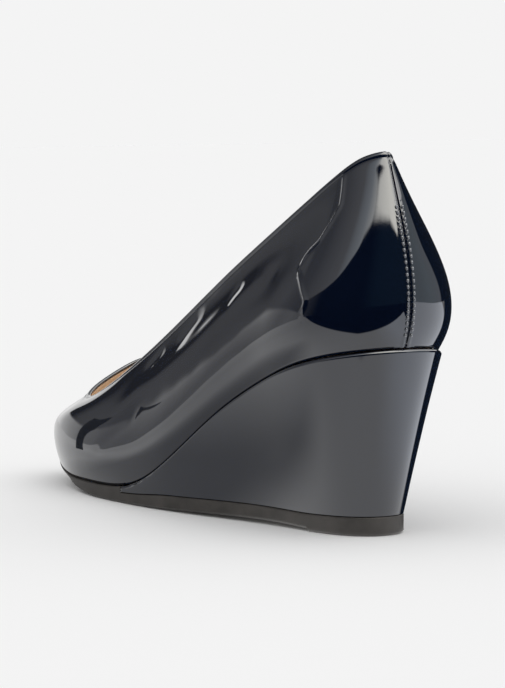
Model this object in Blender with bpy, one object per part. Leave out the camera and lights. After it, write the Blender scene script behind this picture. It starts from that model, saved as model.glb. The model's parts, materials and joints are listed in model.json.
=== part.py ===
"""A covered wedge pump, the wearer's left shoe, in metres.

The heel points along +X, the toe along -X, the outer side of the foot along -Y and the inner side along +Y.
Upper, wedge, outsole and insole are lofted over the same stations, so that each lies on or in its neighbour.
"""
import math

import bmesh
import bpy
import numpy as np
from mathutils import Vector

# Driving dimensions of the last and the shoe
LENGTH = 0.243  # lower edge of the upper, heel to toe
BALL_WIDTH = 0.0735  # lower edge of the upper, across the ball
HEEL_WIDTH = 0.052  # lower edge of the upper, across the heel seat
HEEL_HEIGHT = 0.067  # floor to the heel seat, at the back
COUNTER_HEIGHT = 0.0704  # heel seat to the collar, at the back
INSTEP_HEIGHT = 0.0630  # seat to the collar, beside the instep
VAMP_HEIGHT = 0.0340  # seat to the throat, over the toes
TOP_WIDTH = 0.042  # collar, across the middle of the foot
WALL = 0.0018  # leather and lining of the upper
TOE_SPRING = 0.0130  # floor to the underside of the sole, at the toe

# Outsole
FOREPART_SOLE = 0.0054  # thickness in front of the wedge
TOE_SOLE = 0.0024  # thickness at the toe
TOE_TAPER = 0.0040  # how far the floor edge lies in from the upper edge at the toe
WAIST_SOLE = 0.0052  # thickness under the wedge
HEEL_PAD = 0.0068  # thickness under the heel
HEEL_PAD_REACH = 0.0335  # back of the upper's edge to the front of the heel pad
PAD_FADE = 0.0650  # length from the back over which the sole thins from the heel to the waist
PAD_STEP = 0.0008  # height of the step at the front of the heel pad
PAD_STEP_RUN = 0.0008  # length over which that step slopes
ARCH_RISE = 0.0015  # floor to the underside of the waist
SOLE_BEVEL = 0.0009  # floor edge of the sole
SOLE_EDGE = 0.0003  # upper edge of the sole's side

# Wedge
WEDGE_REACH = 0.1420  # back of the upper's edge to the front end of the wedge
WEDGE_END = 0.0013  # height of the blunt front end of the wedge
END_FADE = 0.0300  # length over which the sole thins under that end
END_STEP_RUN = 0.00015  # length over which the sole steps up in front of that end
HEEL_BASE_WIDTH = 0.0290  # width of the wedge where it meets the heel pad
HEEL_LEAN = 0.0145  # how far the back of the wedge slopes in towards the floor
LEAN_REACH = 0.0280  # length from the back over which that slope dies away
HOLLOW = 0.0004  # how far the wall of the wedge curves in, half way down
LEDGE = 0.0011  # how far the rim of wedge and sole stands out under the upper
RIM = 0.0013  # radius of the wedge's upper rim

# Insole
INSOLE_THICKNESS = 0.0024
INSOLE_EDGE = 0.0005  # softened upper edge

# Fits
SEAT_GAP = 0.0003  # between pieces that lie on each other
SIDE_GAP = 0.0003  # between the insole and the inside of the upper

# Fineness of the lofts
PAIRS = 50  # stations from heel to toe
STATION_ROOM = 0.006  # share of the length that stays clear of other stations round one set for a step
RIB_STEPS = 14  # steps up the wall of the upper
EDGE_STEPS = 3  # steps round the upper's top edge
WALL_STEPS = 6  # steps down the wall of the wedge
RIM_STEPS = 3  # steps round the wedge's upper rim
SAMPLES_A_ROW = 400  # places looked at between two sections, to find the one at a given length
SHARP_ANGLE = 40  # degrees between faces that meet at a hard edge

# Colour and roughness of each piece
FINISHES = {
    "upper": ((0.010, 0.013, 0.022), 0.05),
    "wedge": ((0.012, 0.014, 0.020), 0.06),
    "outsole": ((0.030, 0.027, 0.024), 0.55),
    "insole": ((0.60, 0.42, 0.30), 0.60),
}

# Height of the seat above the forepart, as a share of the heel's rise, along the share of the length
SEAT_RISE = (
    (0.00, 1.000),
    (0.10, 0.917),
    (0.20, 0.792),
    (0.32, 0.565),
    (0.44, 0.260),
    (0.53, 0.075),
    (0.60, 0.010),
    (0.67, 0.000),
    (0.80, 0.000),
    (1.00, 0.000),
)
# Lift of the toe, as a share of the toe spring
TOE_LIFT = ((0.60, 0.00), (0.76, 0.00), (0.84, 0.14), (0.92, 0.47), (1.00, 1.00))
# Lift of the waist, as a share of the arch's rise
ARCH_LIFT = (
    (0.13, PAD_STEP / ARCH_RISE),
    (0.20, 0.90),
    (0.30, 1.00),
    (0.45, 0.50),
    (0.58, 0.00),
)
COLLAR_SHARES = (0.06, 0.45, 0.90)  # places of the three heights that the collar line runs through
WIDENING = (0.20, 0.50)  # shares between which the lower edge goes from the heel's width to the ball's
THINNING = (0.66, 0.88)  # shares between which the forepart of the sole thins towards the toe

# Sections round the last, from the heel along the outer side to the toe and back along the inner side.
# Along: share of LENGTH from the heel.
# Out: share of the width of the lower edge, or of TOP_WIDTH, inner side positive.
# Up: height of the collar over the floor, as a share of the collar line's.
# Flare and lean: degrees between level and the wall, at its foot and at its top.
# Pull: how stiffly the wall holds those slopes, as a share of its height.
COLUMNS = (
    "foot_along", "foot_out", "top_along", "top_out", "top_up", "flare", "foot_pull", "lean", "top_pull"
)
SECTIONS = (
    (0.000, 0.000, 0.060, 0.045, 1.000, 66, .32, 113, .42),  # centre back
    (0.030, -0.315, 0.079, -0.110, 1.009, 60, .35, 112, .41),
    (0.115, -0.500, 0.131, -0.245, 1.006, 56, .37, 105, .40),
    (0.280, -0.520, 0.273, -0.360, 0.998, 61, 0.36, 101, 0.34),
    (0.450, -0.475, 0.448, -0.425, 0.969, 65, 0.35, 106, 0.34),
    (0.620, -0.495, 0.614, -0.524, 0.837, 65, 0.38, 119, 0.34),  # outer ball
    (0.770, -0.467, 0.718, -0.595, 0.724, 67, 0.42, 140, 0.34),
    (0.890, -0.344, 0.785, -0.586, 0.691, 68, 0.39, 150, 0.36),
    (0.972, -0.170, 0.828, -0.433, 0.789, 70, 0.43, 127, 0.38),
    (1.000, 0.010, 0.852, -0.060, 0.961, 72, 0.39, 140, 0.38),  # toe
    (0.972, 0.190, 0.850, 0.150, 1.030, 70, 0.42, 142, 0.38),
    (0.905, 0.350, 0.829, 0.333, 1.045, 66, 0.43, 140, 0.36),
    (0.800, 0.465, 0.784, 0.500, 1.023, 63, 0.41, 134, 0.36),
    (0.690, 0.500, 0.706, 0.595, 0.976, 61, 0.39, 120, 0.35),  # inner ball
    (0.560, 0.450, 0.562, 0.610, 1.020, 63, 0.36, 106, 0.34),
    (0.420, 0.380, 0.407, 0.555, 1.064, 65, 0.35, 98, 0.36),
    (0.270, 0.425, 0.258, 0.480, 1.037, 63, .34, 102, .39),
    (0.115, 0.485, 0.130, .322, 1.006, 55, .37, 110, .40),
    (0.030, 0.340, 0.084, .172, 1.009, 59, .35, 114, .40),
)


def closed_curve(rows):
    """A smooth closed curve through the rows, as a function of the row number."""
    values = np.array(rows, float)
    count = len(values)
    matrix = np.eye(count) * 4 + np.roll(np.eye(count), 1, 0) + np.roll(np.eye(count), -1, 0)
    bend = np.linalg.solve(matrix, 6 * (np.roll(values, 1, 0) - 2 * values + np.roll(values, -1, 0)))

    def at(place):
        start = np.floor(place).astype(int)
        b = (place - start)[:, None]
        a = 1 - b
        here, there = start % count, (start + 1) % count
        straight = a * values[here] + b * values[there]
        return straight + ((a**3 - a) * bend[here] + (b**3 - b) * bend[there]) / 6

    return at


def open_curve(knots):
    """A smooth curve through (share, value) knots, with no bend at its ends, as a function of the share."""
    x, y = np.array(knots, float).T
    step = np.diff(x)
    count = len(x)
    matrix = np.eye(count)
    right = np.zeros(count)
    for i in range(1, count - 1):
        matrix[i, i - 1 : i + 2] = step[i - 1], 2 * (step[i - 1] + step[i]), step[i]
        right[i] = 6 * ((y[i + 1] - y[i]) / step[i] - (y[i] - y[i - 1]) / step[i - 1])
    bend = np.linalg.solve(matrix, right)

    def at(share):
        share = np.clip(share, x[0], x[-1])
        i = np.clip(np.searchsorted(x, share) - 1, 0, count - 2)
        h = step[i]
        a = (x[i + 1] - share) / h
        b = 1 - a
        return a * y[i] + b * y[i + 1] + ((a**3 - a) * bend[i] + (b**3 - b) * bend[i + 1]) * h * h / 6

    return at


def ease(start, end, share):
    """0 before the start, 1 after the end, and a smooth rise between them."""
    t = np.clip((share - start) / (end - start), 0, 1)
    return t * t * (3 - 2 * t)


# Heights along the shoe
seat_rise = open_curve(SEAT_RISE)
toe_lift = open_curve(TOE_LIFT)
arch_lift = open_curve(ARCH_LIFT)
PAD_FRONT = HEEL_PAD_REACH / LENGTH
WEDGE_FRONT = WEDGE_REACH / LENGTH


def forepart_top(share):
    """Top of the sole without the rise to the heel: level, then up to the toe."""
    return FOREPART_SOLE + (TOE_SPRING - FOREPART_SOLE + TOE_SOLE) * np.maximum(toe_lift(share), 0)


def seat(share):
    """Top of the wedge and of the forepart of the sole, which the upper and the insole lie on."""
    return forepart_top(share) + (HEEL_HEIGHT - FOREPART_SOLE) * np.maximum(seat_rise(share), 0)


def thinning(share):
    """How far the forepart of the sole has thinned on its way to the toe."""
    return ease(*THINNING, share)


def underside(share):
    """Underside of the outsole: flat at the heel pad and under the ball, raised at the waist and the toe."""
    arch = ARCH_RISE * np.maximum(arch_lift(share), 0)
    step = np.clip((share - PAD_FRONT) * LENGTH / PAD_STEP_RUN, 0, 1)
    thickness = FOREPART_SOLE - (FOREPART_SOLE - TOE_SOLE) * thinning(share)
    return step * arch + forepart_top(share) - thickness


# Height of the collar above the floor, along the shoe
COLLAR_HEIGHTS = (COUNTER_HEIGHT, INSTEP_HEIGHT, VAMP_HEIGHT)
collar_knots = [(share, seat(share) + height) for share, height in zip(COLLAR_SHARES, COLLAR_HEIGHTS)]
collar_line = open_curve(collar_knots)


def sole_top(share):
    """Top of the outsole under the wedge."""
    waist = WAIST_SOLE + ARCH_RISE * np.maximum(arch_lift(share), 0)
    rear = HEEL_PAD + (waist - HEEL_PAD) * ease(0, PAD_FADE / LENGTH, share)
    front = forepart_top(share) - WEDGE_END
    return rear + (front - rear) * ease(WEDGE_FRONT - END_FADE / LENGTH, WEDGE_FRONT, share)


def edge_width(share):
    """Width that the foot_out column is a share of: the heel's at the back, the ball's in front."""
    return HEEL_WIDTH + (BALL_WIDTH - HEEL_WIDTH) * ease(*WIDENING, share)


def outward(points):
    """Level unit vectors that point out of a closed curve, which runs clockwise as seen from above."""
    along = np.roll(points, -1, 0) - np.roll(points, 1, 0)
    out = np.stack([-along[:, 1], along[:, 0], np.zeros(len(points))], 1)
    return out / np.linalg.norm(out, axis=1)[:, None]


def station_places(kept=()):
    """Row numbers at the stations from heel to toe on the outer side, then the inner side, and the shares."""
    rows = len(SECTIONS)
    curve = closed_curve(SECTIONS)
    place = np.arange(rows * SAMPLES_A_ROW + 1) / SAMPLES_A_ROW
    along = curve(place)[:, 0]
    toe = int(np.argmax(along))
    shares = (1 - np.cos(np.linspace(0, math.pi, PAIRS + 1))) / 2
    clear = [share for share in shares if all(abs(share - other) > STATION_ROOM for other in kept)]
    shares = np.array(sorted([*clear, *kept]))
    outer = np.interp(shares * along[toe], along[: toe + 1], place[: toe + 1])
    inner = np.interp(shares * along[toe], along[toe:][::-1], place[toe:][::-1])
    outer[0], inner[0] = 0, rows
    outer[-1] = inner[-1] = place[toe]
    return outer, inner, shares


class Last:
    """Curves of the shoe at one row number for each station, round a closed ring."""

    def __init__(self, place):
        at = dict(zip(COLUMNS, closed_curve(SECTIONS)(place).T))
        share = np.clip(at["foot_along"], 0, 1)
        self.share = share
        x = LENGTH / 2 - at["foot_along"] * LENGTH
        self.foot = np.stack([x, at["foot_out"] * edge_width(share), seat(share)], 1)
        top_share = at["top_along"]
        top_z = at["top_up"] * collar_line(top_share)
        self.top = np.stack([LENGTH / 2 - top_share * LENGTH, at["top_out"] * TOP_WIDTH, top_z], 1)
        self.foot_out = outward(self.foot)
        self.top_out = outward(self.top)
        self.flare = np.radians(at["flare"])
        self.lean = np.radians(at["lean"])
        self.foot_pull = at["foot_pull"]
        self.top_pull = at["top_pull"]

    def rim(self):
        """Level outline of the rim of wedge and sole, at the height of the seat."""
        return self.foot + self.foot_out * (LEDGE * (1 - thinning(self.share)))[:, None]

    def sole_outline(self):
        """Outline of the outsole: under the wedge its foot, in front of it the rim."""
        points = self.rim()
        narrow = 1 - (1 - HEEL_BASE_WIDTH / HEEL_WIDTH) * (1 - ease(0, WEDGE_FRONT, self.share))
        points[:, 0] -= HEEL_LEAN * np.exp(-self.share * LENGTH / LEAN_REACH)
        points[:, 1] *= narrow
        return points

    def wedge_wall(self, down):
        """Ring on the wall of the wedge, from its rim (0) to the outsole (1)."""
        rim, base = self.rim(), self.sole_outline()
        rim[:, 2] = seat(self.share)
        base[:, 2] = sole_top(self.share)
        height = (rim[:, 2] - base[:, 2]) / HEEL_HEIGHT
        inset = 4 * down * (1 - down) * HOLLOW * height
        return rim + (base - rim) * down - self.foot_out * inset[:, None]

    def ribs(self, steps):
        """Outer skin of the upper, as ribs from its lower edge to the collar."""
        foot = self.foot + [0, 0, SEAT_GAP]
        reach = np.linalg.norm(self.top - foot, axis=1)
        up = np.array([0, 0, 1.0])
        low = self.foot_out * np.cos(self.flare)[:, None] + up * np.sin(self.flare)[:, None]
        high = self.top_out * np.cos(self.lean)[:, None] + up * np.sin(self.lean)[:, None]
        first = foot + low * (self.foot_pull * reach)[:, None]
        second = self.top - high * (self.top_pull * reach)[:, None]
        t = np.linspace(0, 1, steps + 1)[None, :, None]
        ends = foot[:, None] * (1 - t) ** 3 + self.top[:, None] * t**3
        return ends + first[:, None] * 3 * t * (1 - t) ** 2 + second[:, None] * 3 * t * t * (1 - t)


def surface_normals(grid):
    """Unit normals that point out of a skin given as closed rings of ribs."""
    around = np.roll(grid, -1, 0) - np.roll(grid, 1, 0)
    upward = np.gradient(grid, axis=1)
    normal = np.cross(upward, around)
    return normal / np.linalg.norm(normal, axis=2)[..., None]


def add_object(name, mesh_data):
    """An object with its own material from a finished bmesh."""
    colour, roughness = FINISHES[name]
    bmesh.ops.recalc_face_normals(mesh_data, faces=mesh_data.faces)
    mesh = bpy.data.meshes.new(name)
    mesh_data.to_mesh(mesh)
    mesh_data.free()
    mesh.shade_smooth()
    mesh.set_sharp_from_angle(angle=math.radians(SHARP_ANGLE))
    material = bpy.data.materials.new(name)
    material.use_nodes = True
    shader = material.node_tree.nodes["Principled BSDF"]
    shader.inputs["Base Color"].default_value = (*colour, 1)
    shader.inputs["Roughness"].default_value = roughness
    shader.inputs["Metallic"].default_value = 0
    mesh.materials.append(material)
    piece = bpy.data.objects.new(name, mesh)
    bpy.context.collection.objects.link(piece)
    return piece


def band(mesh_data, lower, upper):
    """Faces between two closed rings of vertices."""
    count = len(lower)
    for i in range(count):
        j = (i + 1) % count
        mesh_data.faces.new((lower[i], lower[j], upper[j], upper[i]))


def layered_solid(levels):
    """A closed solid from rings given as (outer side, inner side) point lists, both from the heel forward.

    The two sides share the point at the heel, and the point at the toe where they come to the same one.
    """
    solid = bmesh.new()
    sides = []
    for outer, inner in levels:
        left = [solid.verts.new(point) for point in outer]
        right = [left[0]] + [solid.verts.new(point) for point in inner[1:-1]]
        right.append(left[-1] if np.allclose(outer[-1], inner[-1]) else solid.verts.new(inner[-1]))
        sides.append((left, right))
    rings = [list(dict.fromkeys(left + right[::-1])) for left, right in sides]
    for lower, upper in zip(rings, rings[1:]):
        band(solid, lower, upper)
    for left, right in (sides[0], sides[-1]):
        for i in range(len(left) - 1):
            corners = [left[i], left[i + 1], right[i + 1], right[i]]
            solid.faces.new(list(dict.fromkeys(corners)))
    return solid


def split(points, count):
    """A ring of points as its outer and its inner side, both from the heel to the toe."""
    return points[:count], np.vstack([points[:1], points[count:][::-1], points[count - 1 : count]])


def ring_of(outer, inner):
    """Row numbers round the whole ring from those of the two sides."""
    return np.concatenate([outer, inner[1:-1][::-1]])


def with_height(points, height):
    """The points moved to the given heights."""
    return np.column_stack([points[:, :2], height])


def make_upper():
    """The hollow wall: outer skin, rounded collar edge, inner skin and a flat foot."""
    outer, inner, _ = station_places()
    last = Last(ring_of(outer, inner))
    skin = last.ribs(RIB_STEPS)
    inside = skin - surface_normals(skin) * WALL
    inside[:, 0] = skin[:, 0] - last.foot_out * (WALL / np.sin(last.flare))[:, None]
    wall = bmesh.new()
    rings = [[wall.verts.new(point) for point in skin[:, i]] for i in range(RIB_STEPS + 1)]
    rise = skin[:, -1] - skin[:, -2]
    rise /= np.linalg.norm(rise, axis=1)[:, None]
    middle = (skin[:, -1] + inside[:, -1]) / 2
    across = (skin[:, -1] - inside[:, -1]) / 2
    for i in range(1, EDGE_STEPS):
        turn = math.pi * i / EDGE_STEPS
        points = middle + across * math.cos(turn) + rise * (WALL / 2 * math.sin(turn))
        rings.append([wall.verts.new(point) for point in points])
    rings += [[wall.verts.new(point) for point in inside[:, i]] for i in range(RIB_STEPS, -1, -1)]
    for lower, upper in zip(rings, rings[1:] + rings[:1]):
        band(wall, lower, upper)
    return add_object("upper", wall)


def make_wedge():
    """The covered wedge under the heel and the waist, with a rounded rim and a short blunt front end."""
    outer, inner, shares = station_places((WEDGE_FRONT,))
    last = Last(ring_of(outer, inner))
    side = len(outer)
    used = int(np.argmin(np.abs(shares - WEDGE_FRONT))) + 1
    rim = last.rim()
    top = seat(last.share)
    foot = sole_top(last.share) + SEAT_GAP
    radius = np.minimum(RIM, np.maximum(top - foot, 0) / 2)
    levels = []
    for i in range(WALL_STEPS):
        up = i / WALL_STEPS
        levels.append(with_height(last.wedge_wall(1 - up), foot + (top - radius - foot) * up))
    for angle in np.linspace(0, math.pi / 2, RIM_STEPS + 1):
        inset = radius * (1 - math.cos(angle))
        drop = radius * (1 - math.sin(angle))
        levels.append(with_height(rim - last.foot_out * inset[:, None], top - drop))
    halves = [split(level, side) for level in levels]
    return add_object("wedge", layered_solid([(left[:used], right[:used]) for left, right in halves]))


def make_outsole():
    """The rubber unit sole: heel pad, raised waist, and the thicker forepart in front of the wedge."""
    step = END_STEP_RUN / LENGTH
    front = WEDGE_FRONT + SEAT_GAP / LENGTH
    kept = (PAD_FRONT, PAD_FRONT + PAD_STEP_RUN / LENGTH, front, front + step)
    outer, inner, shares = station_places(kept)
    last = Last(ring_of(outer, inner))
    side = len(outer)
    outline = last.sole_outline()
    low = underside(last.share)
    high = np.where(last.share < front + step / 2, sole_top(last.share), seat(last.share))
    out = last.foot_out
    taper = (TOE_TAPER * thinning(last.share))[:, None]
    levels = [
        with_height(outline - out * (taper + SOLE_BEVEL), low),
        with_height(outline - out * taper / 2, low + SOLE_BEVEL),
        with_height(outline, high - SOLE_EDGE),
        with_height(outline - out * SOLE_EDGE, high),
    ]
    return add_object("outsole", layered_solid([split(level, side) for level in levels]))


def make_insole():
    """The insole board with its sock, inside the upper's foot."""
    outer, inner, _ = station_places()
    last = Last(ring_of(outer, inner))
    side = len(outer)
    low = seat(last.share) + SEAT_GAP
    inset = (WALL + SIDE_GAP) / np.sin(last.flare)
    spread = 1 / np.tan(last.flare)
    levels = []
    for rise, edge in ((0, 0), (INSOLE_THICKNESS - INSOLE_EDGE, 0), (INSOLE_THICKNESS, INSOLE_EDGE)):
        reach = rise * spread - inset - edge
        levels.append(with_height(last.foot + last.foot_out * reach[:, None], low + rise))
    return add_object("insole", layered_solid([split(level, side) for level in levels]))


def centre_on_floor(pieces):
    """Moves the meshes so that the middle of the whole shoe is over the origin."""
    points = np.array([vertex.co for piece in pieces for vertex in piece.data.vertices])
    middle = (points.min(0) + points.max(0)) / 2
    middle[2] = points[:, 2].min()
    for piece in pieces:
        for vertex in piece.data.vertices:
            vertex.co -= Vector(middle)


def main():
    for old in list(bpy.data.objects):
        bpy.data.objects.remove(old)
    centre_on_floor([make_upper(), make_wedge(), make_outsole(), make_insole()])


main()
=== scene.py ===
# %% [markdown]
# # A covered wedge pump in patent leather
# The shoe is the wearer's left one: the heel points along +X, the toe along -X, the outer side of
# the foot along -Y and the inner side along +Y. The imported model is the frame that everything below
# is fitted to. Its four solids have the right form, but flat facets, which a mirror finish would
# show. So each is copied, its triangles are joined to quads again, and the copy is subdivided,
# dented and sewn as the real shoe is.

# %% Load the frame
import json
import math

import bpy
import numpy as np
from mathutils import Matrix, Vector, noise
from mathutils.bvhtree import BVHTree

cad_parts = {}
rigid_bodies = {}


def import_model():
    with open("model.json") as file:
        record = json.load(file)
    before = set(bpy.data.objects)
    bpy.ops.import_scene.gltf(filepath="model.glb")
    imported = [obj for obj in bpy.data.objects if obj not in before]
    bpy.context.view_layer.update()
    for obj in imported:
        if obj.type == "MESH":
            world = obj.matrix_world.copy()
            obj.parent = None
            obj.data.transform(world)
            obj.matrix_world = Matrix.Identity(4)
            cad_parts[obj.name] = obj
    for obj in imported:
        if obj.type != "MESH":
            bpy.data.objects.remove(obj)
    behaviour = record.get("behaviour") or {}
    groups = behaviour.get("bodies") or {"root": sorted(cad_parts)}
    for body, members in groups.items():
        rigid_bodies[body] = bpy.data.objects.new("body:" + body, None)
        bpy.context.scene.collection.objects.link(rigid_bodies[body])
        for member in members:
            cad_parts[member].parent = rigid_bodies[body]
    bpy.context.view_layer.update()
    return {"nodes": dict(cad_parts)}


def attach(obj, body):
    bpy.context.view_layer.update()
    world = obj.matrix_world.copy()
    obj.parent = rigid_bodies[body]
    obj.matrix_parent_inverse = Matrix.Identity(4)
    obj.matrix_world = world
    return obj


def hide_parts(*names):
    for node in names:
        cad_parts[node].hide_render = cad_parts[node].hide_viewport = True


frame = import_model()
print("nodes:", sorted(frame["nodes"]))

# %% [markdown]
# ## The camera
# The shoe is seen from behind and from its outer side, from just above the floor and with a long
# lens, as in a catalogue. The place of the camera and the point it looks at are sizes like any
# other, so they get names.

# %% Camera
CAMERA_AT = Vector((1.2306, -0.6926, 0.1763))
AIM_AT = Vector((0.01758, -0.00313, 0.06142))
LENS_MM = 270.0
SENSOR_MM = 36.0
SEES_FROM = 0.05  # nothing nearer than this is drawn

camera_data = bpy.data.cameras.new("camera")
camera_data.lens = LENS_MM
camera_data.sensor_fit = "HORIZONTAL"
camera_data.sensor_width = SENSOR_MM
camera_data.clip_start = SEES_FROM
camera = bpy.data.objects.new("camera", camera_data)
camera.location = CAMERA_AT
camera.rotation_euler = (AIM_AT - CAMERA_AT).to_track_quat("-Z", "Y").to_euler()
bpy.context.scene.collection.objects.link(camera)
bpy.context.scene.camera = camera
print("camera", round((AIM_AT - CAMERA_AT).length, 3), "m from the shoe")

# %% [markdown]
# ## Tools of the bench
# A few helpers are used for every piece. Operators act on whatever is selected, so the first one
# leaves exactly one piece selected. Another picks faces or edges by a test on their place or
# direction, which stands in for clicking.

# %% Helpers for selecting
MERGE_WITHIN = 1e-6


def lone(piece):
    """Leaves one piece selected and active."""
    for other in bpy.data.objects:
        other.select_set(False)
    piece.select_set(True)
    bpy.context.view_layer.objects.active = piece


def open_mesh(piece, mode="FACE"):
    """Opens one piece in edit mode, to work on its points, edges or faces."""
    lone(piece)
    bpy.context.tool_settings.mesh_select_mode = (mode == "VERT", mode == "EDGE", mode == "FACE")
    bpy.ops.object.mode_set(mode="EDIT")


def close_mesh():
    """Leaves edit mode with nothing selected."""
    bpy.ops.mesh.select_all(action="DESELECT")
    bpy.ops.object.mode_set(mode="OBJECT")


def pick(piece, faces=None, edges=None):
    """Selects some faces or edges, given as a true or false for each, before the mesh is opened."""
    mesh = piece.data
    for items, chosen in ((mesh.vertices, None), (mesh.edges, edges), (mesh.polygons, faces)):
        items.foreach_set("select", np.zeros(len(items), bool) if chosen is None else chosen)


# %% Helpers for reading and moving points
def read(items, name, width=3):
    """A value of every point, edge or face of a mesh, as rows."""
    values = np.empty(len(items) * width)
    items.foreach_get(name, values)
    return values.reshape(-1, width)


def points_of(piece):
    """All points of a mesh as rows of x, y, z."""
    return read(piece.data.vertices, "co")


def move_points(piece, points):
    """Puts the points of a mesh where they are told."""
    piece.data.vertices.foreach_set("co", np.asarray(points, float).ravel())
    piece.data.update()


def tree_of(piece):
    """A search tree of a piece's surface, which finds the nearest spot or what a ray hits."""
    return BVHTree.FromObject(piece, bpy.context.evaluated_depsgraph_get())


# %% A copy of a solid, in quads
SAME_QUAD = math.radians(50)  # two triangles that turn by more than this aren't one quad


def quad_copy(node, name):
    """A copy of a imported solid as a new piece, its triangles joined to the quads they came from."""
    mesh = frame["nodes"][node].data.copy()
    mesh.name = name
    mesh.materials.clear()
    piece = bpy.data.objects.new(name, mesh)
    bpy.context.scene.collection.objects.link(piece)
    open_mesh(piece)
    bpy.ops.mesh.select_all(action="SELECT")
    bpy.ops.mesh.customdata_custom_splitnormals_clear()
    bpy.ops.mesh.remove_doubles(threshold=MERGE_WITHIN)
    bpy.ops.mesh.tris_convert_to_quads(
        face_threshold=SAME_QUAD, shape_threshold=math.pi, topology_influence=2.0
    )
    close_mesh()
    mesh.shade_smooth()
    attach(piece, "root")
    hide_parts(node)
    sides = [len(face.vertices) for face in mesh.polygons]
    print(name, "has", sides.count(4), "quads and", sides.count(3), "triangles")
    return piece


def subdivide(piece, levels):
    """Rounds a piece with a Subdivision Surface and applies it."""
    lone(piece)
    modifier = piece.modifiers.new("rounding", "SUBSURF")
    modifier.levels = modifier.render_levels = levels
    bpy.ops.object.modifier_apply(modifier=modifier.name)
    print(piece.name, "now has", len(piece.data.polygons), "faces")


# %% [markdown]
# ## The upper
# The upper is one wall of patent leather, stiffener and lining, closed over the toes and open at
# the collar. On the grid of quads each ring of faces runs right round the shoe, so counting rings
# from the foot tells the outside from the top edge and the inside. It could also be told by the
# direction of the faces, but those turn right over at the toe. Counting works on any shoe that is a
# grid.

# %% Upper: count the rings of faces
SEAT_REACH = 0.0008  # how far the foot of the wall may be from what it stands on
LOOKS_DOWN = -0.7  # height of the normal of a face that looks down
upper = quad_copy("upper", "upper_leather")


def neighbours(piece):
    """For each face, the faces that share an edge with it."""
    meeting = {}
    for face in piece.data.polygons:
        for key in face.edge_keys:
            meeting.setdefault(key, []).append(face.index)
    beside = [[] for face in piece.data.polygons]
    for group in meeting.values():
        for index in group:
            beside[index] += [other for other in group if other != index]
    return beside


def steps_from(piece, start, blocked=None):
    """How many faces away each face is from the start, or -1 where blocked faces are in the way."""
    beside = neighbours(piece)
    count = np.full(len(piece.data.polygons), -1)
    count[start] = 0
    border = list(np.flatnonzero(start))
    while border:
        reached = []
        for index in border:
            for other in beside[index]:
                if count[other] < 0 and (blocked is None or not blocked[other]):
                    count[other] = count[index] + 1
                    reached.append(other)
        border = reached
    return count


def lies_on(piece, nodes, reach):
    """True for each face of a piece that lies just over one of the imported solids."""
    centres = read(piece.data.polygons, "center")
    close = np.zeros(len(centres), bool)
    for node in nodes:
        tree = tree_of(frame["nodes"][node])
        close |= [tree.find_nearest(Vector(centre), reach)[0] is not None for centre in centres]
    return close


seat_faces = lies_on(upper, ("wedge", "outsole"), SEAT_REACH)
seat_faces &= read(upper.data.polygons, "normal")[:, 2] < LOOKS_DOWN
ring = steps_from(upper, seat_faces)
edge_faces = ring >= ring.max() - 1
outermost = np.arange(len(ring)) == np.argmin(read(upper.data.polygons, "center")[:, 1])
outside = steps_from(upper, outermost, seat_faces | edge_faces) >= 0
inside = ~(outside | edge_faces | seat_faces)
upper.data.polygons.foreach_set("material_index", inside.astype(int))
print("rings to the top edge:", ring.max())
print("faces outside:", outside.sum(), "and inside:", inside.sum())

# %% [markdown]
# ### Fold and groove
# At the collar the patent is folded over the edge, and a groove shows where the fold ends. Inset,
# with its outset switch on, sets loops round the edge faces, and the middle one is sunk with
# Shrink/Fatten. The foot of the wall keeps its sharp edge with a crease, or the rounding would lift
# it off the wedge.

# %% Upper: fold and groove at the collar
FOLD_WIDTH = 0.0013
GROOVE_HALF = 0.00035  # half the width of the groove
GROOVE_SINK = 0.00045  # its depth

pick(upper, seat_faces)
open_mesh(upper)
bpy.ops.mesh.region_to_loop()
bpy.ops.transform.edge_crease(value=1.0)
close_mesh()

pick(upper, edge_faces)
open_mesh(upper)
bpy.ops.mesh.inset(thickness=FOLD_WIDTH, depth=0, use_outset=True)
for _ in range(2):
    bpy.ops.mesh.select_more()
    bpy.ops.mesh.inset(thickness=GROOVE_HALF, depth=0, use_outset=True)
bpy.ops.mesh.region_to_loop()
bpy.ops.transform.shrink_fatten(value=-GROOVE_SINK)
close_mesh()
print("upper has", len(upper.data.polygons), "faces after the fold")

# %% [markdown]
# ### Rounding
# Two levels of a Subdivision Surface round the wall. Before that, the middle column of points at
# the back is set in the plane of the seam, so that the seam runs between faces and not across them.

# %% Upper: the plane of the back seam
SEAM_FOOT = np.array([0.1203, -0.0007, 0.0673])
SEAM_TOP = np.array([0.1057, 0.0012, 0.1340])
SEAM_REACH = 0.090  # the seam lies behind this, measured along X
SNAP = 0.0006  # points nearer than this to the plane of the seam are put in it
UPPER_LEVELS = 2

seam_up = (SEAM_TOP - SEAM_FOOT) / np.linalg.norm(SEAM_TOP - SEAM_FOOT)
seam_across = np.cross(seam_up, (1, 0, 0))
seam_across /= np.linalg.norm(seam_across)


def off_seam(points):
    """Distance of points from the plane of the seam, positive on the inner side of the foot."""
    return (points - SEAM_FOOT) @ seam_across


points = points_of(upper)
on_seam = (np.abs(off_seam(points)) < SNAP) & (points[:, 0] > SEAM_REACH)
points[on_seam] -= off_seam(points[on_seam])[:, None] * seam_across
move_points(upper, points)
print("across the seam is", seam_across.round(3), "and it takes", int(on_seam.sum()), "points")

# %% Upper: round it
subdivide(upper, UPPER_LEVELS)
upper.data.shade_smooth()

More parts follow.
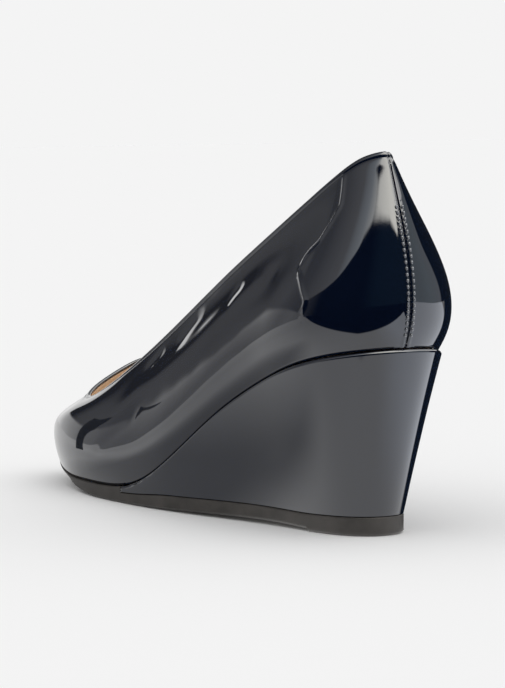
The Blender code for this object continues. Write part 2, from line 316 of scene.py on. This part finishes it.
# %% [markdown]
# ### Pressing
# Leather over a last is never quite even. A path of a few points on the shoe, a width and a rise
# make a soft ridge, or with a negative rise a trough: each point of the mesh moves along its own
# normal, by less the further it is from the path. Proportional editing would do the same by hand. A
# mesh can only show what is wider than its faces, so the faces near a path are split first; with
# its smoothness at 1, Subdivide keeps them on the curve. The paths are in millimetres, as one would
# mark them on the shoe.

# %% Helpers for pressing
MM = 0.001
PATH_STEP = 0.4  # millimetres between the points of a fine path
ROUND_OVER = 9  # points that are averaged to round the corners of a path
END_FADE = 0.2  # share of a path over which the press fades at each end
AT_ENDS = 0.15  # share of the rise that is left at the very ends
REACH = 3.0  # a press ends this many widths from its path
FINE = 0.5  # widest face under a press, in widths
WIDE = 1.5  # a press wider than this needs no finer faces
MOST_SPLITS = 4


def fine_path(piece, path):
    """A path on a piece, in metres and with many points, and each point's share of its length."""
    path = np.array(path, float)
    place = np.concatenate([[0], np.cumsum(np.linalg.norm(np.diff(path, axis=0), axis=1))])
    wanted = np.linspace(0, place[-1], int(place[-1] / PATH_STEP) + 2)
    dense = np.stack([np.interp(wanted, place, path[:, axis]) for axis in range(3)], 1)
    ends = ROUND_OVER // 2
    padded = np.pad(dense, ((ends, ends), (0, 0)), mode="edge")
    even = np.ones(ROUND_OVER) / ROUND_OVER
    rounded = np.stack([np.convolve(padded[:, axis], even, "valid") for axis in range(3)], 1)
    tree = tree_of(piece)
    samples = np.array([tree.find_nearest(Vector(spot * MM))[0] for spot in rounded])
    return samples, wanted / place[-1]


def beside_path(spots, samples, reach):
    """Which spots are in reach of a path, how far off they are, and the nearest of its points."""
    box = (spots > samples.min(0) - reach).all(1) & (spots < samples.max(0) + reach).all(1)
    near = np.flatnonzero(box)
    away = np.linalg.norm(spots[near, None] - samples[None], axis=2)
    close = away.min(1) < reach
    return near[close], away.min(1)[close], away.argmin(1)[close]


def refine(piece, path, width):
    """Splits the patent faces near a narrow path until they are finer than the press."""
    if width > WIDE:
        return
    samples = fine_path(piece, path)[0]
    for _ in range(MOST_SPLITS):
        faces = piece.data.polygons
        near = beside_path(read(faces, "center"), samples, REACH * width * MM)[0]
        coarse = read(faces, "area", 1)[near, 0] > (FINE * width * MM) ** 2
        patent_there = read(faces, "material_index", 1)[near, 0] == 0
        near = near[coarse & patent_there]
        if len(near) == 0:
            break
        chosen = np.zeros(len(faces), bool)
        chosen[near] = True
        pick(piece, chosen)
        open_mesh(piece)
        bpy.ops.mesh.subdivide(number_cuts=1, smoothness=1.0)
        close_mesh()


def outer_skin(piece):
    """True for each point that only faces of the first material, the patent, share."""
    skin = np.ones(len(piece.data.vertices), bool)
    for face in piece.data.polygons:
        if face.material_index:
            skin[list(face.vertices)] = False
    return skin


def press(piece, path, width, rise):
    """Raises, or with a negative rise sinks, the patent of a piece along a path."""
    refine(piece, path, width)
    points = points_of(piece)
    samples, share = fine_path(piece, path)
    near, away, nearest = beside_path(points, samples, REACH * width * MM)
    fade = np.clip(np.minimum(share, 1 - share)[nearest] / END_FADE, 0, 1)
    strength = AT_ENDS + (1 - AT_ENDS) * fade * fade * (3 - 2 * fade)
    lift = rise * MM * np.exp(-((away / width / MM) ** 2)) * strength * outer_skin(piece)[near]
    points[near] += read(piece.data.vertex_normals, "vector")[near] * lift[:, None]
    move_points(piece, points)
    return len(near)


# %% Upper: the end of the stiffener, the roll under the collar and the dents
# Path, width and rise in millimetres
PRESSES = {
    "roll under the collar": (
        [
            (76, -19, 100), (67.1, -20.5, 95.4), (55.3, -22.1, 87.9), (42.9, -23.5, 80.5),
            (30.7, -25.1, 72.4), (18.6, -26.9, 64), (6, -28.5, 56), (-6.6, -30.3, 48.2),
            (-20, -32, 41), (-30.5, -35.5, 32.8), (-38, -38, 26),
        ], 6.0, 0.72,
    ),
    "end of the stiffener, upper part": (
        [(94, -9, 128), (96.8, -11.7, 121.6), (99, -14, 116), (97.3, -16.7, 110.5)], 0.95, 0.48,
    ),
    "end of the stiffener, middle": (
        [(98.5, -15, 113), (95.2, -20.4, 103.4), (90.4, -22.3, 99.1), (88.2, -24.8, 93.7)],
        0.95, 0.55,
    ),
    "end of the stiffener, foot": (
        [(88.2, -24.8, 93.7), (93.9, -27.1, 89.3), (99.8, -28.6, 83.2), (98, -29.6, 77.9)],
        0.95, 0.48,
    ),
    "first dent": ([(43, -21, 86), (38.5, -22, 82), (34, -24, 76)], 2.4, -0.36),
    "second dent": ([(12, -20.5, 74), (6.5, -22, 68), (0, -25.5, 60)], 2.6, -0.40),
    "third dent": ([(-11, -24, 58.5), (-15.5, -25, 54.4), (-21, -27, 49)], 2.2, -0.30),
    "hollow at the waist": ([(52, -20, 89.5), (62, -21.5, 91), (72, -24, 91)], 3.0, -0.16),
    "crease over the little toe": (
        [(-10.8, -34.5, 38.3), (-15.7, -36.9, 31), (-29.8, -38.8, 23.5), (-42.4, -39.5, 16.6)],
        2.4, -0.14,
    ),
}
for name, (path, width, lift) in PRESSES.items():
    print(name, "moves", press(upper, path, width, lift), "points")

# %% [markdown]
# ### Ripples
# A lacquered skin is never optically flat. Blender's noise moves every point of the skin along its
# normal by a few hundredths of a millimetre. It is done in the mesh and not with bump, because it
# bends the edges of everything the patent mirrors, from every side.

# %% Upper: ripples
UPPER_RIPPLE_SIZE = 0.011
UPPER_RIPPLE_HEIGHT = 0.000045


def ripple(piece, size, height):
    """Moves the patent in and out by a smooth noise."""
    points = points_of(piece)
    waves = np.array([noise.noise(Vector(place)) for place in points / size])
    lift = height * waves * outer_skin(piece)
    move_points(piece, points + read(piece.data.vertex_normals, "vector") * lift[:, None])
    print(piece.name, "ripples by up to", round(float(np.abs(lift).max() / MM), 3), "mm")


ripple(upper, UPPER_RIPPLE_SIZE, UPPER_RIPPLE_HEIGHT)

# %% [markdown]
# ### Back seam and stitches
# The two halves meet in a narrow groove between two rolled edges. A row of stitches runs along each
# roll, in a channel that is deepest at the holes. One stitch is a small sphere stretched to a bead;
# it is copied along both rows, and the copies are joined. Stitches could be drawn with bump, but
# then they would look flat from the side.

# %% Upper: sink the seam and its channels
STITCH_ROW = 0.0012  # from the middle of the seam to each row
STITCH_PITCH = 0.00215
ROW_FROM = 0.0035  # where the rows start and end, measured up the seam
ROW_TO = 0.0515
CHANNEL_FADE = 0.0004  # how softly the channels end
ROLL_FADE = 0.0012  # how softly the rolls end
GROOVE = (0.00050, 0.00036)  # height or depth, and half the width
ROLL = (0.00016, 0.00060)
CHANNEL = (0.00008, 0.00034)
BETWEEN_HOLES = 0.4  # depth of a channel between two holes, as a share of its own
IN_MIDDLE = 0.0001  # points nearer than this to the plane of the seam are in its middle
SPLIT_WIDTHS = (1.2, 0.7, 0.4)
PATH_PARTS = 12

points = points_of(upper)
middle = (np.abs(off_seam(points)) < IN_MIDDLE) & (points[:, 0] > SEAM_REACH) & outer_skin(upper)
seam_path = points[middle][np.argsort(points[middle][:, 2])] / MM
for width in SPLIT_WIDTHS:
    refine(upper, seam_path[:: len(seam_path) // PATH_PARTS], width)
points = points_of(upper)
side = np.abs(off_seam(points))
up = (points - SEAM_FOOT) @ seam_up


def profile(shape, distance):
    """A bell of a height and a width, given as a pair."""
    return shape[0] * np.exp(-((distance / shape[1]) ** 2))


def fades_in(past, length):
    """0 well before a place and 1 well past it."""
    return 1 / (1 + np.exp(-past / length))


in_rows = fades_in(up - ROW_FROM, CHANNEL_FADE) * fades_in(ROW_TO - up, CHANNEL_FADE)
at_holes = 0.5 + 0.5 * np.cos(2 * np.pi * (up - ROW_FROM) / STITCH_PITCH)
lift = profile(ROLL, side - STITCH_ROW) * fades_in(ROW_TO - up, ROLL_FADE)
lift -= profile(GROOVE, side)
lift -= profile(CHANNEL, side - STITCH_ROW) * in_rows * (BETWEEN_HOLES + at_holes)
lift *= outer_skin(upper) & (points[:, 0] > SEAM_REACH)
move_points(upper, points + read(upper.data.vertex_normals, "vector") * lift[:, None])
print("seam:", round(float(-lift.min() / MM), 2), "mm deep")
print("upper has", len(upper.data.polygons), "faces")

# %% Stitches: one, modelled once
STITCH_LENGTH = 0.0014
STITCH_RADIUS = 0.00050

for other in bpy.data.objects:
    other.select_set(False)
bpy.ops.mesh.primitive_uv_sphere_add(
    segments=8, ring_count=6, radius=STITCH_RADIUS, location=(0, 0, 0)
)
stitch = bpy.context.object
open_mesh(stitch)
bpy.ops.mesh.select_all(action="SELECT")
bpy.ops.transform.resize(value=(1, 1, STITCH_LENGTH / STITCH_RADIUS / 2))
close_mesh()
stitch.data.shade_smooth()
print("one stitch has", len(stitch.data.polygons), "faces")

# %% Stitches: copied along both rows
STITCH_LIFT = 0.00034  # from the leather to the middle of a stitch
BEHIND = np.array([0.05, 0, 0])  # rays start this far behind the shoe
upper_tree = tree_of(upper)


def seam_spot(up, side):
    """The place on the leather at a height up the seam and a distance beside it, and its normal."""
    start = SEAM_FOOT + seam_up * up + seam_across * side + BEHIND
    return upper_tree.ray_cast(Vector(start), Vector((-1, 0, 0)))[:2]


stitches = []
for row in (-STITCH_ROW, STITCH_ROW):
    for number in range(int((ROW_TO - ROW_FROM) / STITCH_PITCH)):
        up = ROW_FROM + (number + 0.5) * STITCH_PITCH
        below, out_below = seam_spot(up - STITCH_LENGTH / 2, row)
        above, out_above = seam_spot(up + STITCH_LENGTH / 2, row)
        copy = bpy.data.objects.new("stitch", stitch.data.copy())
        bpy.context.scene.collection.objects.link(copy)
        copy.rotation_euler = (above - below).to_track_quat("Z", "Y").to_euler()
        copy.location = (above + below) / 2 + (out_below + out_above).normalized() * STITCH_LIFT
        stitches.append(copy)
bpy.data.objects.remove(stitch)
lone(stitches[0])
for other in stitches:
    other.select_set(True)
bpy.ops.object.join()
bpy.ops.object.transform_apply(location=True, rotation=True, scale=True)
back_stitches = bpy.context.object
back_stitches.name = "back_stitches"
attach(back_stitches, "root")
print("stitches:", len(stitches), "with", len(back_stitches.data.polygons), "faces")

# %% [markdown]
# ## Wedge, sole and insole
# The other solids are smoothed in the same way. Where two sides meet at a hard edge, such as the
# floor edge of the sole, a crease keeps it. The walls of the wedge run straight from its foot up to
# its rounded rim, so the loops of edges round the foot and below the rim, found from the faces that
# look down or up, are creased as well. The skin of the wedge is stretched over a block, so it has a
# few soft upright waves near the back, which a mirror shows as bands.

# %% Wedge, outsole and insole
HARD_EDGE = math.radians(35)  # faces that turn by more than this meet at a hard edge
FACING_UP = 0.12  # height of the normal above which a face is part of the rim or the top
FACING_DOWN = -0.50  # height of the normal below which a face is part of the underside
LEVELS = 3


def smooth_copy(node, name, crease, keep_wall=False):
    """A rounded copy of a solid, whose hard edges stay as sharp as the crease says."""
    piece = quad_copy(node, name)
    open_mesh(piece, "EDGE")
    bpy.ops.mesh.edges_select_sharp(sharpness=HARD_EDGE)
    bpy.ops.transform.edge_crease(value=crease)
    close_mesh()
    if keep_wall:
        facing = read(piece.data.polygons, "normal")[:, 2]
        pick(piece, (facing > FACING_UP) | (facing < FACING_DOWN))
        open_mesh(piece)
        bpy.ops.mesh.region_to_loop()
        bpy.ops.transform.edge_crease(value=1.0)
        bpy.ops.mesh.mark_sharp()
        close_mesh()
    subdivide(piece, LEVELS)
    return piece


wedge = smooth_copy("wedge", "wedge_cover", crease=1.0, keep_wall=True)
outsole = smooth_copy("outsole", "rubber_sole", crease=0.8)
insole = smooth_copy("insole", "sock_and_board", crease=0.5)

# %% Wedge: soft upright waves
COVER_RIPPLE_SIZE = 0.016
COVER_RIPPLE_HEIGHT = 0.00004

# Path, width and rise in millimetres
WAVES = {
    "beside the middle": ([(121, -7, 62), (116, -7, 45), (110, -6, 20)], 3.0, 0.07),
    "outer corner": ([(112, -17, 56), (109, -15, 42), (104, -12, 20)], 4.0, -0.03),
    "inner corner": ([(120, 8, 62), (115, 7, 45), (109, 6, 20)], 3.5, 0.05),
}
for name, (path, width, lift) in WAVES.items():
    print("wave", name, "moves", press(wedge, path, width, lift), "points")
ripple(wedge, COVER_RIPPLE_SIZE, COVER_RIPPLE_HEIGHT)

# %% [markdown]
# ## Finishes
# Five finishes make the shoe: patent leather, the leathers of the lining and of the sock, the
# rubber of the sole, and thread. They share one effect, a grain: small bumps, and patches where the
# colour and the roughness change a little. It is a node group with its own sockets, so each finish
# sets its size and strength. The group puts out values only, and each finish keeps its own shader.

# %% Grain, a node group
grain = bpy.data.node_groups.new("grain", "ShaderNodeTree")
grain.interface.new_socket("Place", in_out="INPUT", socket_type="NodeSocketVector")
for name in ("Bumps per metre", "Patches per metre"):
    grain.interface.new_socket(name, in_out="INPUT", socket_type="NodeSocketFloat")
for name in ("Height", "Patches"):
    grain.interface.new_socket(name, in_out="OUTPUT", socket_type="NodeSocketFloat")

group_in = grain.nodes.new("NodeGroupInput")
group_out = grain.nodes.new("NodeGroupOutput")
for name, size, detail in (
    ("Height", "Bumps per metre", 3.0),
    ("Patches", "Patches per metre", 4.0),
):
    texture = grain.nodes.new("ShaderNodeTexNoise")
    texture.inputs["Detail"].default_value = detail
    grain.links.new(group_in.outputs["Place"], texture.inputs["Vector"])
    grain.links.new(group_in.outputs[size], texture.inputs["Scale"])
    grain.links.new(texture.outputs["Fac"], group_out.inputs[name])
print("grain has", len(grain.nodes), "nodes")


# %% A finish with the grain in it
PATCHES_FROM = 0.3  # values of the patches where the colour starts and ends to change
PATCHES_TO = 0.7


def finish(name, dark, light, rough, bumps, patches, bump_height, coat=0.0):
    """A material with a fine grain, whose colour and roughness wander between two values."""
    material = bpy.data.materials.new(name)
    material.use_nodes = True
    tree = material.node_tree
    shader = tree.nodes["Principled BSDF"]
    shader.inputs["Coat Weight"].default_value = coat
    place = tree.nodes.new("ShaderNodeTexCoord")
    group = tree.nodes.new("ShaderNodeGroup")
    group.node_tree = grain
    group.inputs["Bumps per metre"].default_value = bumps
    group.inputs["Patches per metre"].default_value = patches
    tree.links.new(place.outputs["Object"], group.inputs["Place"])
    ramp = tree.nodes.new("ShaderNodeValToRGB")
    ramp.color_ramp.elements[0].position = PATCHES_FROM
    ramp.color_ramp.elements[1].position = PATCHES_TO
    ramp.color_ramp.elements[0].color = (*dark, 1)
    ramp.color_ramp.elements[1].color = (*light, 1)
    tree.links.new(group.outputs["Patches"], ramp.inputs["Fac"])
    tree.links.new(ramp.outputs["Color"], shader.inputs["Base Color"])
    spread = tree.nodes.new("ShaderNodeMapRange")
    spread.inputs["To Min"].default_value = rough[0]
    spread.inputs["To Max"].default_value = rough[1]
    tree.links.new(group.outputs["Patches"], spread.inputs["Value"])
    tree.links.new(spread.outputs["Result"], shader.inputs["Roughness"])
    bump = tree.nodes.new("ShaderNodeBump")
    bump.inputs["Distance"].default_value = bump_height
    tree.links.new(group.outputs["Height"], bump.inputs["Height"])
    tree.links.new(bump.outputs["Normal"], shader.inputs["Normal"])
    return material


# %% [markdown]
# ### Patent leather
# Patent is leather under a clear, thick lacquer. The Principled BSDF has a coat for that, which
# keeps its mirror smooth while the leather below has its fine grain. The colour is a navy so deep
# that it only shows where nothing bright is mirrored.

# %% The finishes
patent = finish(
    "patent", (0.0013, 0.0033, 0.0105), (0.0018, 0.0042, 0.0130), rough=(0.03, 0.06),
    bumps=700, patches=40, bump_height=0.0000025, coat=1.0,
)
# The lining is paler than its own tan, as painted light for the light that reaches little inside the
# shoe
lining = finish(
    "lining", (0.90, 0.74, 0.58), (0.95, 0.81, 0.66), rough=(0.50, 0.62),
    bumps=1600, patches=90, bump_height=0.00003,
)
sock = finish(
    "sock_leather", (0.88, 0.71, 0.55), (0.94, 0.79, 0.64), rough=(0.45, 0.60),
    bumps=1300, patches=50, bump_height=0.00003,
)
rubber = finish(
    "rubber", (0.026, 0.023, 0.020), (0.055, 0.049, 0.044), rough=(0.42, 0.60),
    bumps=1500, patches=110, bump_height=0.00004,
)
# The thread is navy; its lighter grey is painted sheen, standing in for the glint of the stitches
thread = finish(
    "thread", (0.11, 0.115, 0.13), (0.18, 0.185, 0.20), rough=(0.16, 0.24),
    bumps=3000, patches=500, bump_height=0.00002, coat=1.0,
)
for piece, materials in (
    (upper, (patent, lining)),
    (wedge, (patent,)),
    (outsole, (rubber,)),
    (insole, (sock,)),
    (back_stitches, (thread,)),
):
    for material in materials:
        piece.data.materials.append(material)
    print(piece.name, "wears", [material.name for material in materials])

# %% [markdown]
# ## The studio
# Patent leather shows its surroundings more than itself, so the studio matters as much as the
# finish. A real one has a pale table that ends in front of the shoe, darkness behind the camera, a
# large soft light high on the right and grey walls. The world here gives each kind of ray its own
# look, with the Light Path node: the camera sees an even pale ground, rough surfaces get soft white
# light, and mirrors see the studio. The studio is written as tables of angle and brightness,
# measured round the shoe from the direction of the camera, positive to its right.

# %% Directions of the studio
BACKGROUND = 0.905
toward = (CAMERA_AT - AIM_AT) * Vector((1, 1, 0))
toward.normalize()
right = Vector((-toward.y, toward.x, 0))
print("towards the camera", [round(v, 3) for v in toward])
print("to its right", [round(v, 3) for v in right])


# %% Helpers for node trees
def feed(tree, socket, given):
    """Gives a socket a number, a colour or what another node puts out."""
    if isinstance(given, (int, float)):
        socket.default_value = given
    elif isinstance(given, tuple):
        socket.default_value = (*given, 1)
    else:
        tree.links.new(given, socket)


def maths(tree, operation, first, second=0.0):
    """What a Math node puts out."""
    node = tree.nodes.new("ShaderNodeMath")
    node.operation = operation
    feed(tree, node.inputs[0], first)
    feed(tree, node.inputs[1], second)
    return node.outputs["Value"]


def along(tree, place, direction):
    """How far a place lies along a direction."""
    node = tree.nodes.new("ShaderNodeVectorMath")
    node.operation = "DOT_PRODUCT"
    tree.links.new(place, node.inputs[0])
    node.inputs[1].default_value = tuple(direction)
    return node.outputs["Value"]


def rises(tree, value, start, end):
    """0 where a value is below start, 1 where it is above end, and smooth between."""
    node = tree.nodes.new("ShaderNodeMapRange")
    node.interpolation_type = "SMOOTHSTEP"
    for name, given in (("Value", value), ("From Min", start), ("From Max", end)):
        feed(tree, node.inputs[name], given)
    return node.outputs["Result"]


def table(tree, value, rows):
    """A Color Ramp filled from rows of a value and its brightness or colour."""
    low = rows[0][0]
    width = rows[-1][0] - low
    node = tree.nodes.new("ShaderNodeValToRGB")
    elements = node.color_ramp.elements
    for at, shade in rows[1:-1]:
        elements.new((at - low) / width)
    for element, (at, shade) in zip(elements, rows):
        element.color = (*shade, 1) if isinstance(shade, tuple) else (shade, shade, shade, 1)
    place = maths(tree, "DIVIDE", maths(tree, "SUBTRACT", value, low), width)
    feed(tree, node.inputs["Fac"], place)
    return node.outputs["Color"]


def blend(tree, share, first, second):
    """The first colour where the share is 0, the second where it is 1."""
    node = tree.nodes.new("ShaderNodeMixRGB")
    for name, given in (("Fac", share), ("Color1", first), ("Color2", second)):
        feed(tree, node.inputs[name], given)
    return node.outputs["Color"]


def scaled(tree, colour, factor):
    """A colour made brighter or darker."""
    node = tree.nodes.new("ShaderNodeVectorMath")
    node.operation = "SCALE"
    tree.links.new(colour, node.inputs[0])
    feed(tree, node.inputs["Scale"], factor)
    return node.outputs["Vector"]


# %% Tables of the studio
# Height in degrees of the upper border of the dark part
DARK_TOP = (
    (-180, 24), (-152, 24), (-130, 22), (-115, 17), (-105, 15), (-92, 15), (-75, 21), (-60, 29),
    (-45, 38), (-32, 44.5), (-18, 46.5), (0, 45.5), (15, 44), (30, 42), (45, 38), (58, 32),
    (68, 29), (90, 28), (110, 26), (125, 21), (150, 13), (180, 13),
)
# Height of its lower border, and the brightness below that
DARK_FOOT = (
    (-180, 20), (-158, 20), (-155, 9.5), (-138, 9.5), (-128, 10), (-118, 9), (-105, 6), (-95, 1),
    (-80, -8), (-60, -25), (60, -25), (64, 29), (90, 28), (110, 26), (117, 24), (120, -5),
    (180, -5),
)
LOW_LIGHT = (
    (-180, 0.84), (-157, 0.84), (-150, 0.64), (-138, 0.50), (-131, 0.38), (-120, 0.33),
    (-110, 0.45), (-95, 0.42), (-60, 0.40), (60, 0.50), (66, (0.52, 0.58, 0.62)),
    (100, (0.48, 0.55, 0.59)), (117, (0.38, 0.40, 0.43)), (122, 0.02), (180, 0.02),
)
# Brightness of the dark part
DARK_LIGHT = (
    (-180, 0.03), (-147, 0.03), (-141, 0.13), (-132, 0.19), (-104, 0.19), (-92, 0.12),
    (-75, 0.006), (-10, 0.003), (8, (0.020, 0.040, 0.060)), (60, (0.030, 0.050, 0.070)),
    (120, (0.012, 0.018, 0.028)), (180, 0.012),
)
# Brightness above it, as a share of the scale, because a Color Ramp holds nothing above 1
HIGH_SCALE = 6.0
HIGH_LIGHT = (
    (-180, 0.06), (-150, 0.02), (-125, 0.024), (-112, 0.034), (-95, 0.060), (-76, 0.085),
    (-63, 0.10), (-53, (0.15, 0.16, 0.17)), (-38, (0.21, 0.225, 0.24)), (-24, (0.36, 0.37, 0.37)),
    (-8, (0.76, 0.75, 0.71)), (45, (1.0, 0.98, 0.91)), (70, 0.70), (100, 0.42), (130, 0.32),
    (155, 0.18), (180, 0.08),
)
tables = (DARK_TOP, DARK_FOOT, LOW_LIGHT, DARK_LIGHT, HIGH_LIGHT)
print("the tables have", [len(rows) for rows in tables], "rows")

# %% World: what mirrors see
BORDER_SOFT = 0.8  # degrees over which a border fades to each side
LOWEST = -30  # the borders lie between this height and this height plus the span
SPAN = 90
world = bpy.data.worlds.new("studio")
bpy.context.scene.world = world
world.use_nodes = True
sky = world.node_tree
looking = sky.nodes.new("ShaderNodeTexCoord").outputs["Generated"]
height = along(sky, looking, (0, 0, 1))
turned = maths(sky, "ARCTAN2", along(sky, looking, right), along(sky, looking, toward))
azimuth = maths(sky, "DEGREES", turned)
elevation = maths(sky, "DEGREES", maths(sky, "ARCSINE", height))


def border(rows):
    """1 above a border whose height in degrees depends on the azimuth, 0 below it."""
    shares = [(at, (degrees - LOWEST) / SPAN) for at, degrees in rows]
    edge = maths(sky, "ADD", maths(sky, "MULTIPLY", table(sky, azimuth, shares), SPAN), LOWEST)
    return rises(sky, maths(sky, "SUBTRACT", elevation, edge), -BORDER_SOFT, BORDER_SOFT)


low = table(sky, azimuth, LOW_LIGHT)
below_top = blend(sky, border(DARK_FOOT), low, table(sky, azimuth, DARK_LIGHT))
high = scaled(sky, table(sky, azimuth, HIGH_LIGHT), HIGH_SCALE)
mirrored = blend(sky, border(DARK_TOP), below_top, high)
print("world has", len(sky.nodes), "nodes so far")

# %% World: one look for each kind of ray
SIDE_LIGHT = 0.60  # soft light from the horizon, and what is added to it towards the top
TOP_LIGHT = 0.60

ray = sky.nodes.new("ShaderNodeLightPath").outputs
from_above = maths(sky, "MULTIPLY", maths(sky, "MAXIMUM", height, 0.0), TOP_LIGHT)
soft_light = maths(sky, "ADD", SIDE_LIGHT, from_above)
lit = blend(sky, ray["Is Glossy Ray"], soft_light, mirrored)
seen = blend(sky, ray["Is Camera Ray"], lit, (BACKGROUND, BACKGROUND, BACKGROUND))
sky.links.new(seen, sky.nodes["Background"].inputs["Color"])
bpy.context.scene.view_settings.view_transform = "Standard"
print("world has", len(sky.nodes), "nodes")

# %% [markdown]
# ### The table
# The camera sees a plain pale table. In the patent it glows instead, with painted light and shade: it
# is painted dark from a hand's width in front of the heel on, as if it ended there, painted with
# shade beside the waist and the forepart, painted brighter on the side of the light, and painted dark
# in the corner behind the heel. The same material gives both through the Light Path node. Under the
# shoe the soft light of the world leaves a soft shadow by itself.

# %% Table: where painted light and shade lie on it in the mirror, in metres
TABLE_SIZE = 8
# Painted light in the mirror: brightness from left to right, and the brighter side of the light
ACROSS = ((-0.40, 0.74), (-0.15, 0.86), (-0.04, 0.98), (0.0, 1.02), (0.40, 1.05))
LIGHT_SIDE = (1.34, 1.40, 1.52)
LIGHT_FROM = 0.05
LIGHT_TO = 0.16
# Painted shade beside the shoe in the mirror: its brightness along the foot, and where it ends beside
# and behind
SHADE = ((-0.10, 0.38), (0.075, 0.39), (0.125, 0.66), (0.40, 0.72))
SHADE_BESIDE = (0.075, 0.150)
SHADE_BEHIND = (-0.075, -0.02)
# Painted edge of the table in the mirror, painted dark past it: how far towards the camera, and its
# slant to the right of a place
PAINTED_TABLE_EDGE = 0.203
EDGE_SLANT = 0.55
SLANT_FROM = 0.02
EDGE_SOFT = 0.005
PAINTED_DARK_PAST_EDGE = (0.004, 0.004, 0.005)
# Painted shade in the dark corner behind the heel: one border runs through a point and faces a
# direction
DARK_CORNER = Vector((0.108, 0.012, 0))
CORNER_FACES = Vector((-0.993, -0.116, 0))
CORNER_SOFT = 0.008
PAINTED_SHADE_IN_CORNER = (0.010, 0.015, 0.025)
print("table ends", PAINTED_TABLE_EDGE, "m towards the camera in the mirror")

# %% Table
bpy.ops.mesh.primitive_plane_add(size=TABLE_SIZE, location=(0, 0, 0))
floor = bpy.context.object
floor.name = "floor"
paint = bpy.data.materials.new("table_with_painted_reflection")
paint.use_nodes = True
tree = paint.node_tree
tree.nodes.remove(tree.nodes["Principled BSDF"])
plain = tree.nodes.new("ShaderNodeBsdfDiffuse")
plain.inputs["Color"].default_value = (BACKGROUND, BACKGROUND, BACKGROUND, 1)
spot = tree.nodes.new("ShaderNodeTexCoord").outputs["Object"]
to_right = along(tree, spot, right)
outward = along(tree, spot, (0, -1, 0))
forward = along(tree, spot, (-1, 0, 0))

# Painted light, brighter towards the side of the light
on_light_side = rises(tree, to_right, LIGHT_FROM, LIGHT_TO)
bright = blend(tree, on_light_side, table(tree, to_right, ACROSS), LIGHT_SIDE)
# Painted shade beside the shoe
beside_shoe = maths(tree, "SUBTRACT", 1.0, rises(tree, outward, *SHADE_BESIDE))
shaded = maths(tree, "MULTIPLY", beside_shoe, rises(tree, forward, *SHADE_BEHIND))
dimmed = blend(tree, shaded, bright, table(tree, forward, SHADE))
# Painted dark past the edge of the table in the mirror
past_slant = maths(tree, "MAXIMUM", maths(tree, "SUBTRACT", to_right, SLANT_FROM), 0.0)
edge_bend = maths(tree, "MULTIPLY", past_slant, EDGE_SLANT)
reached = maths(tree, "SUBTRACT", along(tree, spot, toward), edge_bend)
past_edge = rises(tree, reached, PAINTED_TABLE_EDGE - EDGE_SOFT, PAINTED_TABLE_EDGE + EDGE_SOFT)
up_to_edge = blend(tree, past_edge, dimmed, PAINTED_DARK_PAST_EDGE)
# Painted shade in the corner behind the heel
line = CORNER_FACES.dot(DARK_CORNER)
behind = rises(tree, along(tree, spot, CORNER_FACES), line, line + CORNER_SOFT)
side_line = right.dot(DARK_CORNER)
far_right = rises(tree, to_right, side_line, side_line + CORNER_SOFT)
shown = blend(tree, maths(tree, "MULTIPLY", behind, far_right), up_to_edge, PAINTED_SHADE_IN_CORNER)

# Mirrors see this painted light and shade as a glow given off by the table
glow = tree.nodes.new("ShaderNodeEmission")
tree.links.new(shown, glow.inputs["Color"])
in_mirror = tree.nodes.new("ShaderNodeLightPath").outputs["Is Glossy Ray"]
chooser = tree.nodes.new("ShaderNodeMixShader")
tree.links.new(in_mirror, chooser.inputs["Fac"])
tree.links.new(plain.outputs["BSDF"], chooser.inputs[1])
tree.links.new(glow.outputs["Emission"], chooser.inputs[2])
tree.links.new(chooser.outputs["Shader"], tree.nodes["Material Output"].inputs["Surface"])
paint.cycles.emission_sampling = "NONE"
floor.data.materials.append(paint)
print("table has", len(tree.nodes), "nodes")

# %% [markdown]
# ### The card
# Photographers hang dark cards beside shiny things, to draw a dark line on a pale side. One upright
# strip of cloth does that for the toe. Its visibility is switched off for the camera, for soft
# light and for shadows, so that only mirrors see it.

# %% Dark card beside the toe
CARD_AT = Vector((-0.222, -0.094, 0.039))
CARD_FACES = Vector((0.955, 0.297, 0))
CARD_WIDTH = 0.018
CARD_HEIGHT = 0.074
CARD_COLOUR = (0.06, 0.06, 0.055, 1)

bpy.ops.mesh.primitive_plane_add(size=1, location=CARD_AT)
card = bpy.context.object
card.name = "black_card"
card.scale = (CARD_WIDTH, CARD_HEIGHT, 1)
card.rotation_euler = CARD_FACES.to_track_quat("Z", "Y").to_euler()
cloth = bpy.data.materials.new("black_cloth")
cloth.use_nodes = True
shader = cloth.node_tree.nodes["Principled BSDF"]
shader.inputs["Base Color"].default_value = CARD_COLOUR
shader.inputs["Specular IOR Level"].default_value = 0
card.data.materials.append(cloth)
card.visible_camera = card.visible_diffuse = card.visible_shadow = False
print("card is", CARD_WIDTH, "m wide and", CARD_HEIGHT, "m high")
